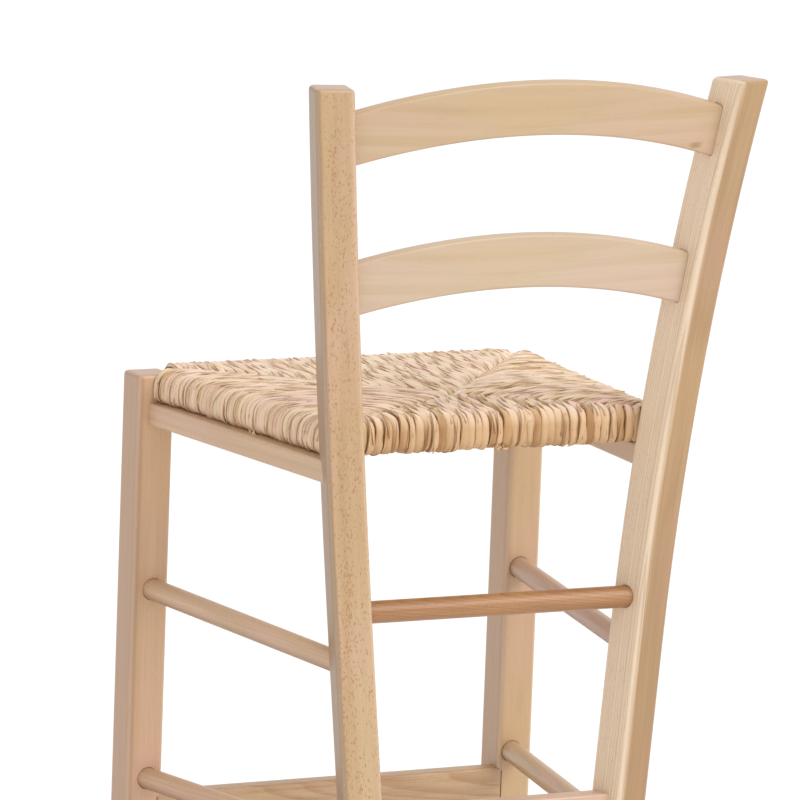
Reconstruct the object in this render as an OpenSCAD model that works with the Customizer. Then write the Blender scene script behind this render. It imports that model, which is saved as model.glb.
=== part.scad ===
// Counter-height ladder-back chair with a woven rush seat on a loose wooden frame.
// Millimetres, +Z up, the front faces -Y. The origin is on the floor, at the middle of the chair's box.

/* [Overall size] */
// Height of the front legs, level with the seat
seat_h = 640; // [520:5:720]
// Front legs, centre to centre
front_span = 385; // [340:1:460]
// Back posts, centre to centre at seat level
back_span = 324; // [280:1:360]
// Front leg centre to back post centre at seat level
seat_depth = 337; // [300:1:400]
// Height of the back posts above the front legs
back_rise = 308; // [240:1:380]

/* [Legs and posts] */
// Side of the square front leg
leg = 36; // [30:1:44]
// Width of a back post
post_w = 35; // [30:1:42]
// Depth of a back post
post_d = 38; // [32:1:46]
// Rounding of the long corners
corner_r = 4; // [2:0.5:6]
// Bevel round the tops
top_bevel = 4; // [2:0.5:6]
// Angle each back post is turned outward, seen from above
toe = 15.3; // [0:0.1:20]
// Angle each back post leans out to the side
lean = 5.2; // [2:0.1:8]
// Radius of the posts' backward bend
bend_r = 2480; // [1800:10:4000]
// How far below the seat the bend begins
bend_below = 205; // [150:5:260]

/* [Back slats] */
// Thickness of the slats
slat_t = 12.5; // [10:0.5:16]
// Height of the slats at their ends
slat_h = 48; // [40:1:60]
// Lower edge of the top slat above the seat, at its ends
top_slat_up = 238; // [170:1:250]
// Rise of the top slat in the middle
top_arch = 28; // [10:1:40]
// How far the top slat bows backward
top_bow = 13; // [4:1:24]
// Lower edge of the lower slat above the seat, at its ends
low_slat_up = 105; // [70:1:130]
// Rise of the lower slat in the middle
low_arch = 22.5; // [10:0.5:40]
// How far the lower slat bows backward
low_bow = 9; // [4:1:24]
// How deep a slat goes into a post
slat_in = 15; // [10:1:20]

/* [Rungs] */
// Diameter of the round rungs
rung_d = 20; // [16:0.5:24]
// Upper side rungs below the seat, at the front leg
rung_up_front = 199; // [150:1:240]
// Upper side rungs below the seat, at the back post
rung_up_back = 211; // [150:1:250]
// Lower side rungs below the seat
rung_low = 377; // [300:1:400]
// Back rung below the seat
rung_back = 162; // [120:1:185]
// How deep a rung goes into a leg
rung_in = 20; // [14:1:24]

/* [Flat rails] */
// Width of the rails under the seat
ledge_w = 34; // [24:1:36]
// Height of the rails under the seat
ledge_h = 20; // [16:0.5:28]
// Top of the footboard below the seat
foot_down = 392; // [330:1:420]
// Height of the footboard
foot_h = 60; // [40:1:90]
// Thickness of the footboard and the back rail
foot_t = 19; // [15:0.5:24]
// Top of the flat back rail below the seat
back_rail_down = 339; // [280:1:360]
// Height of the flat back rail
back_rail_h = 50; // [40:1:70]

/* [Seat] */
// Rush above the tops of the front legs
rush_up = 8; // [2:0.5:14]
// Thickness of the whole seat
rush_h = 34; // [30:1:44]
// Thickness of the woven rush on each face
rush_t = 6.5; // [4:0.5:8]
// How far the rush reaches out behind the front legs
rush_over = 17.5; // [10:0.5:20]
// Rush in front of the front legs' centres
rush_front = 10; // [0:1:16]
// Where the four woven panels meet, behind the front legs' centres
rush_apex = 209; // [140:1:230]
// Width of the seat frame's rails
frame_w = 24; // [18:1:30]
// Width of the seat frame's nose between the front legs
nose_w = 14; // [12:1:18]

/* [Fits] */
// Clearance round a glued joint
glue = 0.1; // [0.05:0.05:0.3]
// Space left at the bottom of a blind joint
bottom = 1; // [0.5:0.5:2]
// Gap between the seat and the wood round it
seat_gap = 0.5; // [0.2:0.1:1.5]
// Gap between the woven panels
weave_gap = 0.3; // [0.2:0.1:1]

/* [Screws] */
// Diameter of the seat screws
screw_d = 4; // [3:0.5:5]
// Diameter of their countersunk heads
screw_head = 8; // [6:0.5:9]
// Length of the seat screws
screw_l = 38; // [32:1:40]

/* [Hidden] */
$fn = 64;
big = 400;
mid_leg = front_span / 2;
// a post's middle line: straight from the floor, then an arc of bend_r up to the top
w1 = (seat_h - bend_below) / cos(lean);
post_top = seat_h + back_rise;
w_top = (post_top + 12) / cos(lean);
function bend_at(w) = w <= w1 ? 0 : asin((w - w1) / bend_r);
function in_plane(w) = w <= w1 ? 0 : bend_r - sqrt(bend_r * bend_r - (w - w1) * (w - w1));
function from_foot(z) = [
    z * tan(lean) * cos(toe) + in_plane(z / cos(lean)) * sin(toe),
    -z * tan(lean) * sin(toe) + in_plane(z / cos(lean)) * cos(toe)];
foot_x = back_span / 2 - from_foot(seat_h)[0];
foot_y = seat_depth - from_foot(seat_h)[1];
function post_c(z) = [foot_x + from_foot(z)[0], foot_y + from_foot(z)[1], z];
// slope of the back at a height, straight back
function rake(z) = atan((post_c(z + 5)[1] - post_c(z - 5)[1]) / 10);
// the slats' half width where they meet the posts
function half_in(z) = post_c(z)[0] - post_w / 2 * cos(toe);
// the seat's back corners follow the posts' front faces
seat_top = seat_h + rush_up;
seat_low = seat_top - rush_h;
face = post_c(seat_low - 2) - post_d / 2 * [sin(toe), cos(toe), 0];
function face_y(x) = face[1] - (x - face[0]) * tan(toe) - seat_gap / cos(toe);
xf = mid_leg - leg / 2 - seat_gap;
yf = -rush_front;
yn = leg / 2 + seat_gap;
xs = xf + rush_over;
xb = face[0] + 13;
xk = face[0] - 10.5;
ybx = face_y(xb);
yb = face_y(xk);
fi = rush_t + weave_gap;
wood_low = seat_low + fi;
wood_top = seat_top - fi;
x_in = xf - fi - nose_w;
x_back_in = xb - fi - frame_w;
ledge_top = seat_low - 0.2;
ledge_low = ledge_top - ledge_h;
ledge_a = [mid_leg - 9.6, leg / 2];
ledge_b = [face[0] + 3.6, face[1]];
// the chair's box in Y runs from the front legs to the top slat's middle
top_mid = seat_h + top_slat_up + slat_h / 2;
slat_set = 3;
y_max = post_c(top_mid)[1] + slat_set + (top_bow + slat_t / 2) * cos(rake(top_mid))
    + (slat_h / 2 + top_arch) * sin(rake(top_mid));
yc = (y_max - leg / 2) / 2;
screw_at = [0.2, 0.8];

// ---- helpers ----
module rounded(a, b, r) {
    square([a - 2 * r, b], center = true);
    square([a, b - 2 * r], center = true);
    for (x = [-1, 1], y = [-1, 1])
        translate([x * (a / 2 - r), y * (b / 2 - r)]) circle(r);
}

module bevels(a, b, z, c) {
    for (s = [0, 180]) rotate([0, 0, s]) {
        translate([a / 2 - c, 0, z]) rotate([0, 45, 0]) translate([0, -big / 2, 0])
            cube([big, big, big]);
        translate([0, b / 2 - c, z]) rotate([-45, 0, 0]) translate([-big / 2, 0, 0])
            cube([big, big, big]);
    }
}

// a round bar from p to q
module rod(p, q, d) {
    v = q - p;
    l = norm(v);
    translate(p) rotate([0, acos(v[2] / l), atan2(v[1], v[0])]) cylinder(d = d, h = l);
}

// a bar of width w and height h whose middle line runs level from p to q, both at height z
module bar(p, q, z, w, h, more = 0) {
    a = atan2(q[1] - p[1], q[0] - p[0]);
    translate([p[0], p[1], z]) rotate([0, 0, a]) translate([-more, -w / 2, -h / 2])
        cube([norm([q[0] - p[0], q[1] - p[1]]) + 2 * more, w, h]);
}

module right() mirror([1, 0, 0]) children();
module place() translate([0, -yc, 0]) children();

// ---- legs and posts as plain bars, grown by g ----
module leg_bar(g) translate([mid_leg, 0, 0]) linear_extrude(seat_h) rounded(leg + 2 * g, leg + 2 * g, corner_r);

module post_bar(g) translate([foot_x, foot_y, 0]) rotate([lean, 0, 90 - toe]) {
    translate([0, 0, -20]) linear_extrude(w1 + 20) rounded(post_d + 2 * g, post_w + 2 * g, corner_r);
    translate([bend_r, 0, w1]) rotate([90, 0, 180]) rotate_extrude(angle = bend_at(w_top), $fn = 256)
        translate([bend_r, 0]) rounded(post_d + 2 * g, post_w + 2 * g, corner_r);
}

// everything behind the post's front face at the height of the rails under the seat
module behind_face(g) translate([foot_x, foot_y, 0]) rotate([lean, 0, 90 - toe]) {
    w = (ledge_top + ledge_low) / 2 / cos(lean);
    translate([in_plane(w), 0, w]) rotate([0, bend_at(w), 0])
        translate([-post_d / 2 - g, -big / 2, -big / 2]) cube(big);
}

// ---- the inner pieces, grown by g where they make their own sockets ----
module side_rung(zf, zb, g) {
    p = [mid_leg, 0, zf];
    q = post_c(zb);
    u = (q - p) / norm(q - p);
    rod(p + (leg / 2 - rung_in - (g > 0 ? bottom : 0)) * u, q - (post_d / 2 - rung_in - (g > 0 ? bottom : 0)) * u,
        rung_d + 2 * g);
}

module cross_rung(z, g) {
    c = post_c(z);
    e = half_in(z) + rung_in - 4 + (g > 0 ? bottom : 0);
    y = c[1] + 2;
    rod([-e, y, z], [e, y, z], rung_d + 2 * g);
}

module slat(up, arch, bow, g) {
    z = seat_h + up + slat_h / 2;
    h = half_in(z);
    rt = (h * h + arch * arch) / (2 * arch);
    rb = (h * h + bow * bow) / (2 * bow);
    e = h + slat_in + (g > 0 ? bottom : 0);
    translate([0, post_c(z)[1] + slat_set, z]) rotate([-rake(z), 0, 0]) intersection() {
        translate([0, bow - rb, -big / 2]) linear_extrude(big) difference() {
            circle(rb + slat_t / 2 + g, $fn = 256);
            circle(rb - slat_t / 2 - g, $fn = 256);
        }
        rotate([90, 0, 0]) translate([0, 0, -100]) linear_extrude(200) intersection() {
            difference() {
                translate([0, slat_h / 2 + arch - rt]) circle(rt + g, $fn = 256);
                translate([0, -slat_h / 2 + arch - rt]) circle(rt - g, $fn = 256);
            }
            translate([-e, -slat_h]) square([2 * e, 3 * slat_h]);
        }
    }
}

module ledge_tenons(g) {
    a = atan2(ledge_b[1] - ledge_a[1], ledge_b[0] - ledge_a[0]);
    u = [cos(a), sin(a)];
    z = (ledge_top + ledge_low) / 2;
    bar(ledge_a - (12 + (g > 0 ? bottom : 0)) * u, ledge_a + 20 * u, z, 14 + 2 * g, ledge_h - 8 + 2 * g);
    bar(ledge_b - 20 * u, ledge_b + (15 + (g > 0 ? bottom : 0)) * u, z, 14 + 2 * g, ledge_h - 8 + 2 * g);
}

module front_rail_tenons(g) for (s = [-1, 1]) {
    e = xf + 16 + (g > 0 ? bottom : 0);
    bar([s * (xf - 20), -4], [s * e, -4], (ledge_top + ledge_low) / 2, 14 + 2 * g, ledge_h - 8 + 2 * g);
}

module foot_tenons(g) for (s = [-1, 1]) {
    e = xf + 16 + (g > 0 ? bottom : 0);
    bar([s * (xf - 20), leg / 2 - foot_t / 2], [s * e, leg / 2 - foot_t / 2],
        seat_h - foot_down - foot_h / 2 - 4, foot_t / 2 + 2 * g, foot_h - 20 + 2 * g);
}

module back_rail_tenons(g) {
    z = seat_h - back_rail_down - 14;
    c = post_c(z);
    for (s = [-1, 1]) {
        e = half_in(z) + 14 + (g > 0 ? bottom : 0);
        bar([s * (half_in(z) - 20), c[1]], [s * e, c[1]], z, foot_t / 2 + 2 * g, 18 + 2 * g);
    }
}

// the seat screws stand in the side rails under the seat
function screw_xy(k) = ledge_a + screw_at[k] * (ledge_b - ledge_a) - [7, 0];

module screws(g) for (k = [0, 1]) translate([screw_xy(k)[0], screw_xy(k)[1], ledge_low]) {
    cylinder(d = screw_d + 2 * g, h = screw_l + g);
    cylinder(d1 = screw_head + 2 * g, d2 = screw_d + 2 * g, h = (screw_head - screw_d) / 2);
}

// ---- wood ----
module front_leg() color([0.83, 0.66, 0.47]) difference() {
    leg_bar(0);
    translate([mid_leg, 0, 0]) bevels(leg, leg, seat_h, top_bevel);
    side_rung(seat_h - rung_up_front, seat_h - rung_up_back, glue);
    side_rung(seat_h - rung_low, seat_h - rung_low, glue);
    ledge_tenons(glue);
    front_rail_tenons(glue);
    foot_tenons(glue);
}

module back_post() color([0.80, 0.63, 0.44]) difference() {
    post_bar(0);
    // the top is sawn level, and its four edges are bevelled
    translate([foot_x - big / 2, foot_y - big / 2, post_top]) cube(big);
    translate([post_c(post_top)[0], post_c(post_top)[1], 0]) rotate([0, 0, 90 - toe])
        bevels(post_d / cos(bend_at(post_top / cos(lean))), post_w / cos(lean), post_top, top_bevel);
    translate([foot_x - big / 2, foot_y - big / 2, -big]) cube(big);
    side_rung(seat_h - rung_up_front, seat_h - rung_up_back, glue);
    side_rung(seat_h - rung_low, seat_h - rung_low, glue);
    cross_rung(seat_h - rung_back, glue);
    ledge_tenons(glue);
    back_rail_tenons(glue);
    slat(top_slat_up, top_arch, top_bow, glue);
    slat(low_slat_up, low_arch, low_bow, glue);
}

module top_slat() place() color([0.85, 0.69, 0.50]) slat(top_slat_up, top_arch, top_bow, 0);
module lower_slat() place() color([0.85, 0.69, 0.50]) slat(low_slat_up, low_arch, low_bow, 0);

module side_seat_rail() color([0.79, 0.63, 0.46]) difference() {
    union() {
        difference() {
            bar(ledge_a, ledge_b, (ledge_top + ledge_low) / 2, ledge_w, ledge_h, 15);
            translate([0, -leg, 0]) cube([big, leg * 1.5 + glue, seat_h]);
            behind_face(glue);
        }
        ledge_tenons(0);
    }
    screws(glue);
}

module front_seat_rail() place() color([0.79, 0.63, 0.46]) {
    translate([-xf - seat_gap + glue, -leg / 2 + 4, ledge_low])
        cube([2 * (xf + seat_gap - glue), 24, ledge_h]);
    front_rail_tenons(0);
}

module upper_side_rung() color([0.82, 0.64, 0.45]) side_rung(seat_h - rung_up_front, seat_h - rung_up_back, 0);
module lower_side_rung() color([0.82, 0.64, 0.45]) side_rung(seat_h - rung_low, seat_h - rung_low, 0);
module back_rung() place() color([0.74, 0.52, 0.33]) cross_rung(seat_h - rung_back, 0);

module back_lower_rail() place() color([0.80, 0.64, 0.47]) {
    z = seat_h - back_rail_down - back_rail_h / 2;
    c = post_c(z);
    difference() {
        translate([-c[0], c[1] - foot_t / 2, z - back_rail_h / 2]) cube([2 * c[0], foot_t, back_rail_h]);
        post_bar(glue);
        right() post_bar(glue);
    }
    back_rail_tenons(0);
}

module footboard() place() color([0.83, 0.66, 0.48]) {
    translate([-xf - seat_gap + glue, leg / 2 - foot_t, seat_h - foot_down - foot_h])
        cube([2 * (xf + seat_gap - glue), foot_t, foot_h]);
    foot_tenons(0);
}

// ---- the loose seat frame ----
module frame_side() color([0.70, 0.56, 0.40]) difference() {
    translate([0, 0, wood_low]) linear_extrude(wood_top - wood_low) polygon([
        [xf - fi, yf + fi], [xf - fi, yn + fi], [xs - fi, yn + fi], [xb - fi, ybx - fi],
        [x_back_in, ybx - fi], [x_in, yf + fi]]);
    front_tenon(glue);
    back_tenon(glue);
    screws(glue);
}

module front_tenon(g) bar([0, yf + fi + frame_w / 2], [x_in + 8 + (g > 0 ? bottom : 0), yf + fi + frame_w / 2],
    (wood_low + wood_top) / 2, 12 + 2 * g, 8 + 2 * g);

module back_tenon(g) bar([0, ybx - fi - frame_w / 2], [x_back_in + 12 + (g > 0 ? bottom : 0), ybx - fi - frame_w / 2],
    (wood_low + wood_top) / 2, 12 + 2 * g, 8 + 2 * g);

// the frame's inner edge at a distance back
function inner_x(y) = x_in + (x_back_in - x_in) * (y - yf - fi) / (ybx - yf - 2 * fi);

module cross_frame(y0, y1, x0, x1) color([0.70, 0.56, 0.40])
    translate([0, 0, wood_low]) linear_extrude(wood_top - wood_low)
        polygon([[-x0, y0], [x0, y0], [x1, y1], [-x1, y1]]);

module seat_frame_front() place() {
    cross_frame(yf + fi, yf + fi + frame_w, inner_x(yf + fi) - glue, inner_x(yf + fi + frame_w) - glue);
    color([0.70, 0.56, 0.40]) { front_tenon(0); right() front_tenon(0); }
}

module seat_stuffing() place() color([0.72, 0.60, 0.38])
    translate([0, 0, wood_low + 0.2]) linear_extrude(wood_top - wood_low - 0.4) polygon([
        [-inner_x(yf + fi + frame_w) + 1, yf + fi + frame_w + 1],
        [inner_x(yf + fi + frame_w) - 1, yf + fi + frame_w + 1],
        [inner_x(ybx - fi - frame_w) - 1, ybx - fi - frame_w - 1],
        [-inner_x(ybx - fi - frame_w) + 1, ybx - fi - frame_w - 1]]);

module seat_frame_back() place() color([0.70, 0.56, 0.40]) {
    i0 = inner_x(ybx - fi - frame_w) - glue;
    i1 = inner_x(ybx - fi) - glue;
    translate([0, 0, wood_low]) linear_extrude(wood_top - wood_low) polygon([
        [-i0, ybx - fi - frame_w], [i0, ybx - fi - frame_w], [i1, ybx - fi], [i1, yb - fi],
        [-i1, yb - fi], [-i1, ybx - fi]]);
    back_tenon(0);
    right() back_tenon(0);
}

module seat_screws() place() color([0.75, 0.75, 0.72]) { screws(0); right() screws(0); }

// ---- woven rush ----
// the seat seen from above: between the front legs, out behind them, then back to the posts
module seat_outline() polygon([
    [-xf, yf], [xf, yf], [xf, yn], [xs, yn], [xb, ybx], [xk, yb],
    [-xk, yb], [-xb, ybx], [-xs, yn], [-xf, yn]]);

module hollow() {
    i = inner_x(ybx - fi) + weave_gap;
    a = xf - rush_t;
    b = xs - rush_t;
    c = xb - rush_t;
    translate([0, 0, seat_low + rush_t]) linear_extrude(rush_h - 2 * rush_t) polygon([
        [-a, yf + rush_t], [a, yf + rush_t], [a, yn + rush_t], [b, yn + rush_t],
        [c, ybx - rush_t], [i, ybx - rush_t], [i, yb - rush_t], [-i, yb - rush_t],
        [-i, ybx - rush_t], [-c, ybx - rush_t], [-b, yn + rush_t], [-a, yn + rush_t]]);
}

// rounded edges: across the seat, and along its left side
module edge_y() rotate([90, 0, 90]) linear_extrude(2 * big, center = true)
    translate([(yf + yb) / 2, (seat_low + seat_top) / 2]) rounded(yb - yf, rush_h, 10);

module edge_side() translate([xs, yn, 0]) rotate([0, 0, atan2(ybx - yn, xb - xs)])
    translate([big / 2, 0, 0]) rotate([90, 0, 90]) linear_extrude(2 * big, center = true)
        translate([big / 2, (seat_low + seat_top) / 2]) rounded(big, rush_h, 10);

apex = [0, rush_apex];
front_ray = apex + 1.05 * ([xf, yn] - apex);
back_ray = apex + 1.3 * ([xk, yb] - apex);

module weave(g) translate([0, 0, seat_low - 5]) linear_extrude(rush_h + 10) translate(g) children();

module rush_front() place() color([0.86, 0.71, 0.47]) intersection() {
    difference() { translate([0, 0, seat_low]) linear_extrude(rush_h) seat_outline(); hollow(); }
    edge_y();
    weave([0, -weave_gap]) polygon([apex, [-front_ray[0], front_ray[1]], [-front_ray[0], -big],
        [front_ray[0], -big], front_ray]);
}

module rush_back() place() color([0.86, 0.71, 0.47]) intersection() {
    difference() { translate([0, 0, seat_low]) linear_extrude(rush_h) seat_outline(); hollow(); }
    edge_y();
    weave([0, weave_gap]) polygon([apex, back_ray, [-back_ray[0], back_ray[1]]]);
}

module rush_side() color([0.86, 0.71, 0.47]) difference() {
    intersection() {
        difference() { translate([0, 0, seat_low]) linear_extrude(rush_h) seat_outline(); hollow(); }
        edge_side();
        weave([weave_gap, 0]) polygon([apex, front_ray, [big, front_ray[1]], [big, back_ray[1]], back_ray]);
    }
    screws(glue);
}

place() front_leg();  // front_leg_left
place() right() front_leg();  // front_leg_right
place() back_post();  // back_post_left
place() right() back_post();  // back_post_right
top_slat();
lower_slat();
place() side_seat_rail();  // side_seat_rail_left
place() right() side_seat_rail();  // side_seat_rail_right
front_seat_rail();
place() upper_side_rung();  // upper_side_rung_left
place() right() upper_side_rung();  // upper_side_rung_right
place() lower_side_rung();  // lower_side_rung_left
place() right() lower_side_rung();  // lower_side_rung_right
back_rung();
back_lower_rail();
footboard();
seat_frame_front();
seat_frame_back();
place() frame_side();  // seat_frame_left
place() right() frame_side();  // seat_frame_right
seat_stuffing();
rush_front();
rush_back();
place() rush_side();  // rush_left
place() right() rush_side();  // rush_right
seat_screws();
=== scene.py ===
import bpy, math, random
from mathutils import Matrix, Quaternion, Vector


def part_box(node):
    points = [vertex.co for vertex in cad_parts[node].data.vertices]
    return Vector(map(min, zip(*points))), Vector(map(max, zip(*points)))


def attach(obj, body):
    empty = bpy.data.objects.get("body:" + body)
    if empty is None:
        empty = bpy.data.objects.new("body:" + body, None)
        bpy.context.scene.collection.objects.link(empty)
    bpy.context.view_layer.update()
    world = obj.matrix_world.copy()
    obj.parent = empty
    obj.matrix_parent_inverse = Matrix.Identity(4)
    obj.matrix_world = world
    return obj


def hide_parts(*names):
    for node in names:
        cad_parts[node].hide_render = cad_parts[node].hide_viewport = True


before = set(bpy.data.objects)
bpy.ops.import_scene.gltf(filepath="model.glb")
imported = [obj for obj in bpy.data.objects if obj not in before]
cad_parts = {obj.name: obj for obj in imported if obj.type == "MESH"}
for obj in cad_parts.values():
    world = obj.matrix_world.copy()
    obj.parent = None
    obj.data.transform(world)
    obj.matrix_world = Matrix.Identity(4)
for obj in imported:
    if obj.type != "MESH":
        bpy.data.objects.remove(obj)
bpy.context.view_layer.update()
bpy.ops.object.select_all(action="DESELECT")


# ---- Front legs ----
# Two square beech legs, planed to 36 mm and run up to the seat, with every corner rounded over.
# They carry the seat rails, the side rungs and the footboard in blind joints.
leg_side, leg_round = 0.036, 0.0042
leg_low, leg_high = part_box("front_leg_left")
leg_x = (leg_low.x + leg_high.x) / 2
leg_y = (leg_low.y + leg_high.y) / 2
seat_height = leg_high.z


class Value:
    """A shader socket that takes part in plain sums."""

    def __init__(self, finish, socket):
        self.finish, self.socket = finish, socket

    def sum(self, operation, *values):
        return self.finish.node("ShaderNodeMath", {"operation": operation}, dict(enumerate(values)))

    def __add__(self, other): return self.sum("ADD", self, other)
    def __sub__(self, other): return self.sum("SUBTRACT", self, other)
    def __mul__(self, other): return self.sum("MULTIPLY", self, other)
    def __truediv__(self, other): return self.sum("DIVIDE", self, other)
    def __pow__(self, other): return self.sum("POWER", self, other)
    def __radd__(self, other): return self.sum("ADD", other, self)
    def __rsub__(self, other): return self.sum("SUBTRACT", other, self)
    def __gt__(self, other): return self.sum("GREATER_THAN", self, other)


class Finish:
    """A material, and the one way its nodes are added."""

    def __init__(self, name):
        self.material = bpy.data.materials.new(name)
        self.material.use_nodes = True
        self.tree = self.material.node_tree
        self.shader = self.tree.nodes["Principled BSDF"]

    def node(self, kind, settings, sockets, outlet=0):
        made = self.tree.nodes.new(kind)
        for name, setting in settings.items():
            if name == "stops":
                ramp = made.color_ramp
                while len(ramp.elements) < len(setting):
                    ramp.elements.new(0.5)
                for stop, (place, shade) in zip(ramp.elements, setting):
                    stop.position, stop.color = place, (*shade, 1)
            else:
                setattr(made, name, setting)
        for name, value in sockets.items():
            if isinstance(value, Value):
                self.tree.links.new(value.socket, made.inputs[name])
            elif isinstance(value, tuple) and len(value) == 3 and made.inputs[name].type == "RGBA":
                made.inputs[name].default_value = (*value, 1)
            else:
                made.inputs[name].default_value = value
        return Value(self, made.outputs[outlet])

    def set(self, **sockets):
        for name, value in sockets.items():
            socket = self.shader.inputs[name.replace("_", " ")]
            if isinstance(value, Value):
                self.tree.links.new(value.socket, socket)
            else:
                socket.default_value = (*value, 1) if isinstance(value, tuple) else value

    def scaled(self, vector, x, y, z):
        return self.node("ShaderNodeVectorMath", {"operation": "MULTIPLY"}, {0: vector, 1: (x, y, z)})

    def noise(self, vector, detail=2.0, rough=0.5):
        return self.node("ShaderNodeTexNoise", {}, {"Vector": vector, "Scale": 1.0, "Detail": detail,
                                                    "Roughness": rough}, "Fac")

    def mix(self, factor, first, second):
        return self.node("ShaderNodeMix", {"data_type": "RGBA", "clamp_factor": True},
                         {0: factor, 6: first, 7: second}, 2)

    def ease(self, value, low, high):
        return self.node("ShaderNodeMapRange", {"interpolation_type": "SMOOTHSTEP"},
                         {"Value": value, "From Min": low, "From Max": high})

    def bump(self, height, strength, distance):
        self.set(Normal=self.node("ShaderNodeBump", {}, {"Height": height, "Strength": strength,
                                                         "Distance": distance}))


def dyed(colour, red, green, blue):
    """The colour with each of its three parts scaled."""
    return tuple(part * scale for part, scale in zip(colour, (red, green, blue)))


def beech(name, tone, warm, pith, slope, layer, flecks, contrast, end=False, face=None, corner=None,
          knot=None, low=None):
    """Lacquered beech, drawn in the board's own directions: x across, y through, z along the grain.
    tone and warm are its pale and browner bands. pith is where the middle of the tree lay, layer how thick
    a year's growth is, and slope tips the layers so that they arch on a face. flecks and contrast say how
    strong the ray flecks and the figure are. face is (towards, colour, start, stop) for one side drawn in
    another
    colour: painted shade on the darker sides of the legs, the left post and the rungs, and paler wood on the
    right post's inner face. corner is the half width and half depth whose arrises get a painted highlight,
    knot the place of a small bark mark, and low (colour, start, stop) a browner foot."""
    wood = Finish(name)
    place = wood.node("ShaderNodeAttribute", {"attribute_name": "grain"}, {}, "Vector")
    x, y, z = (wood.node("ShaderNodeSeparateXYZ", {}, {0: place}, i) for i in range(3))
    # the growth layers wander slowly along the board
    wander = wood.noise(wood.scaled(place, 9, 9, 1.6), 2.0)
    dx, dy = x - pith[0], y - pith[1]
    radius = (dx * dx + dy * dy) ** 0.5 + z * slope + (wander - 0.5) * 0.011
    count = radius / layer
    uneven = wood.noise(wood.node("ShaderNodeCombineXYZ", {}, {0: count * 0.31, 1: 3.7, 2: 1.1}), 1.0)
    turned = count + uneven * 2.6
    phase = turned.sum("FRACT", turned)
    line = wood.ease(phase, 0.35, 0.92) * (1 - wood.ease(phase, 0.93, 1.0))
    # broad golden and pinkish bands, and fine fibres
    bands = wood.noise(wood.scaled(place, 60, 60, 2.4), 2.0, 0.6)
    cloud = wood.noise(wood.scaled(place, 17, 17, 6), 1.0)
    fibres = wood.noise(wood.scaled(place, 2300, 2300, 60), 3.0, 0.7)
    streaks = wood.noise(wood.scaled(place, 560, 560, 11), 3.0, 0.65)
    colour = wood.mix(wood.ease(bands, 0.36, 0.64), tone, warm)
    pink, golden = dyed(tone, 1.04, 0.96, 1.06), dyed(tone, 1.0, 0.975, 0.88)
    colour = wood.mix(wood.ease(cloud, 0.48, 0.62) * 0.7, colour, pink)
    colour = wood.mix((1 - wood.ease(cloud, 0.36, 0.48)) * 0.8, colour, golden)
    if low:
        brown, start, stop = low
        colour = wood.mix((1 - wood.ease(z, stop, start)) * 0.7, colour, wood.mix(bands * 0.3, brown, colour))
    # one side drawn in another colour: painted shade where it is darker, paler wood where it is lighter
    if face:
        towards, other, start, stop = face
        way = x * towards[0] + y * towards[1]
        colour = wood.mix(wood.ease(way + (streaks - 0.5) * 0.004, start, stop), colour,
                          wood.mix(0.88, colour, other))
    colour = wood.mix(line * (0.34 * contrast), colour, dyed(warm, 0.84, 0.74, 0.62))
    depth = (fibres - 0.5) * 0.36 + (streaks - 0.5) * 0.85
    dark_fibre, pale_fibre = dyed(warm, 0.60, 0.60, 0.60), tuple(min(1, part * 1.2) for part in tone)
    fibre = wood.mix(depth > 0, dark_fibre, pale_fibre)
    colour = wood.mix(depth.sum("ABSOLUTE", depth) * contrast, colour, fibre)
    # rays: short brown flecks on the face, gathered in loose bands
    spots = wood.noise(wood.scaled(place, 820, 300, 290), 1.5, 0.6)
    crowd = wood.noise(wood.scaled(place, 120, 120, 10), 2.0)
    fleck = wood.ease(spots + (crowd - 0.5) * 0.30, 0.59, 0.675)
    colour = wood.mix(fleck * flecks, colour, dyed(warm, 0.76, 0.66, 0.50))
    # painted highlight: the arrises are drawn paler, as if they caught the light
    if corner:
        reach = [wood.ease(part.sum("ABSOLUTE", part), half - 0.0042, half - 0.0012)
                 for part, half in ((x, corner[0]), (y, corner[1]))]
        colour = wood.mix(reach[0] * reach[1] * 0.26, colour, (0.80, 0.64, 0.46))
    if knot:
        up, along = (x - knot[0]) / 0.0040, (z - knot[1]) / 0.0100
        away = (up * up + along * along) ** 0.5
        mark = (1 - wood.ease(away + (streaks - 0.5) * 1.2, 0.2, 1.0)) * 0.8
        colour = wood.mix(mark, colour, (0.34, 0.20, 0.09))
    if end:
        colour = wood.mix(0.45, colour, (0.50, 0.335, 0.235))
    rough = 0.40 + (streaks - 0.5) * 0.14 + fleck * (0.2 * flecks)
    wood.set(Base_Color=colour, Roughness=rough, Coat_Weight=0.2, Coat_Roughness=0.28,
             Specular_IOR_Level=0.45)
    wood.bump(fibres * 0.5 + streaks * 0.5 - line * 0.2 - fleck * flecks, 0.22, 0.00035)
    return wood.material


def bar(across, through, length, round_over, steps=4):
    """A planed bar standing up Z from the origin, its long corners and ends rounded over."""
    bpy.ops.object.select_all(action="DESELECT")
    bpy.ops.mesh.primitive_cube_add(size=1, location=(0, 0, 0))
    piece = bpy.context.object
    bpy.ops.object.mode_set(mode="EDIT")
    bpy.ops.transform.resize(value=(across, through, length))
    bpy.ops.transform.translate(value=(0, 0, length / 2))
    bpy.ops.mesh.bevel(offset=round_over, segments=steps, affect="EDGES")
    bpy.ops.object.mode_set(mode="OBJECT")
    return piece


def place(piece, turn):
    piece.data.transform(turn)
    piece.data.update()


def sink(piece, *tools):
    """Cuts joints: takes each tool's shape out of the piece, and throws the tool away."""
    for tool in tools:
        cut = piece.modifiers.new("joint", "BOOLEAN")
        cut.operation, cut.solver, cut.object = "DIFFERENCE", "EXACT", tool
        bpy.context.view_layer.objects.active = piece
        bpy.ops.object.modifier_apply(modifier=cut.name)
        bpy.data.objects.remove(tool)


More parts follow.
